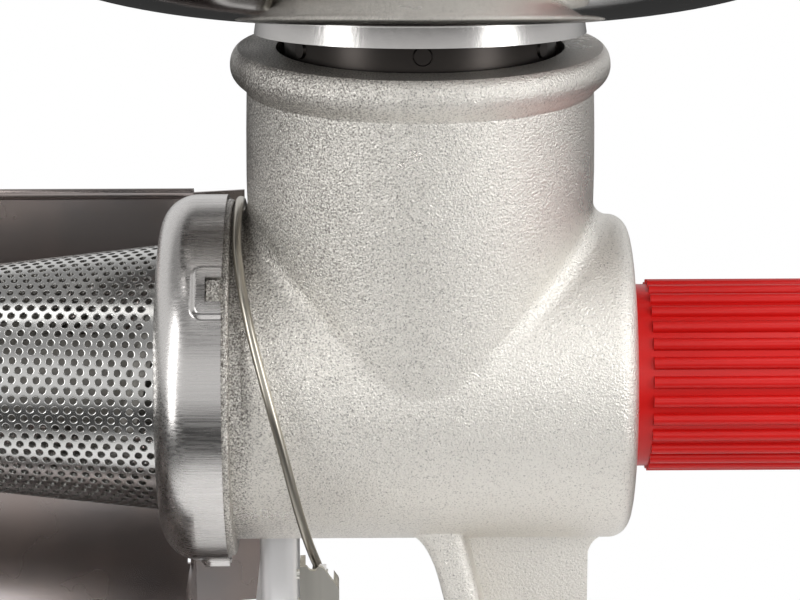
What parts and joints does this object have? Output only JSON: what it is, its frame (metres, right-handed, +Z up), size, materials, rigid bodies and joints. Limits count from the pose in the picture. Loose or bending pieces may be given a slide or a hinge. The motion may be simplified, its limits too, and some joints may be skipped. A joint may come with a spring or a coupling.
{
  "type": "tomato strainer with crank",
  "caption": "Table-clamped crank strainer: hopper over a horizontal cast body, auger, perforated cone in a bayonet ring, drip pan held by a bail and toggle latch.",
  "frame": {"origin": "on the underside of the upper clamp jaw, below the hopper neck's axis", "axes": "+X along the drive axis towards the crank, -Y towards the front, +Z up"},
  "size_m": [0.4438, 0.2448, 0.409],
  "materials": {
    "casting": "tinned sand casting, matt grain",
    "sheet_steel": "drawn stainless sheet, fine brushing",
    "polished_sheet": "polished stainless sheet",
    "wire": "bright drawn wire",
    "red_plastic": "moulded, semi-gloss",
    "auger_plastic": "food-safe moulding",
    "plated_steel": "zinc plated",
    "bronze": "turned bearing metal",
    "rubber": "moulded rubber"
  },
  "bodies": {
    "frame": {"body_casting": "casting", "shaft_bushing": "bronze", "shaft_seal": "rubber", "saddle_post": "polished_sheet", "yoke": "polished_sheet", "drip_pan": "polished_sheet", "pan_rivets": "plated_steel"},
    "drive": {"auger": "auger_plastic", "auger_pin": "plated_steel", "thrust_washer": "plated_steel", "drive_shaft": "plated_steel", "drive_sleeve": "red_plastic", "crank_arm": "plated_steel", "crank_washer": "plated_steel", "crank_screw": "plated_steel", "grip_pin": "plated_steel", "grip_cap": "plated_steel"},
    "grip": {"crank_grip": "red_plastic"},
    "screen": {"screen_cone": "sheet_steel", "cone_gasket": "rubber", "locking_ring": "sheet_steel"},
    "hopper": {"hopper_bowl": "polished_sheet", "hopper_collar": "sheet_steel", "hopper_spigot": "sheet_steel"},
    "latch": {"latch_lever": "plated_steel", "pivot_pin": "plated_steel", "hook_pin": "plated_steel"},
    "bail": {"bail_wire": "wire"},
    "jaw_pad": {"clamp_pad": "plated_steel", "pad_cover": "rubber"},
    "screw": {"clamp_screw": "plated_steel"},
    "bar": {"tommy_bar": "plated_steel", "bar_balls": "plated_steel"}
  },
  "joints": [
    {"name": "crank_spin", "type": "hinge", "parent": "frame", "child": "drive", "pos_m": [0, 0, 0.125], "axis": [1, 0, 0], "continuous": true},
    {"name": "grip_spin", "type": "hinge", "parent": "drive", "child": "grip", "pos_m": [0.18, 0, -0.025], "axis": [1, 0, 0], "continuous": true},
    {"name": "screen_slide", "type": "slide", "parent": "frame", "child": "screen", "axis": [-1, 0, 0], "range_m": [0, 0.03]},
    {"name": "hopper_lift", "type": "slide", "parent": "frame", "child": "hopper", "axis": [0, 0, 1], "range_m": [0, 0.06]},
    {"name": "latch_lever", "type": "hinge", "parent": "frame", "child": "latch", "pos_m": [-0.024, -0.0454, 0.0914], "axis": [-1, 0, 0], "range_deg": [0, 65]},
    {"name": "bail_swing", "type": "hinge", "parent": "frame", "child": "bail", "pos_m": [-0.036, 0.0426, 0.077], "axis": [-1, 0, 0], "range_deg": [0, 1.5]},
    {"name": "pad_slide", "type": "slide", "parent": "frame", "child": "jaw_pad", "axis": [0, 0, 1], "range_m": [-0.016, 0.016]},
    {"name": "screw_turn", "type": "hinge", "parent": "jaw_pad", "child": "screw", "pos_m": [0, 0, -0.08], "axis": [0, 0, 1], "range_deg": [-1440, 1440]},
    {"name": "tommy_slide", "type": "slide", "parent": "screw", "child": "bar", "axis": [0, 1, 0], "range_m": [-0.024, 0.024]}
  ],
  "couplings": [
    {"joint": "bail_swing", "follows": "latch_lever", "ratio": 0.02307},
    {"joint": "pad_slide", "follows": "screw_turn", "m_per_rad": 0.0006366}
  ]
}
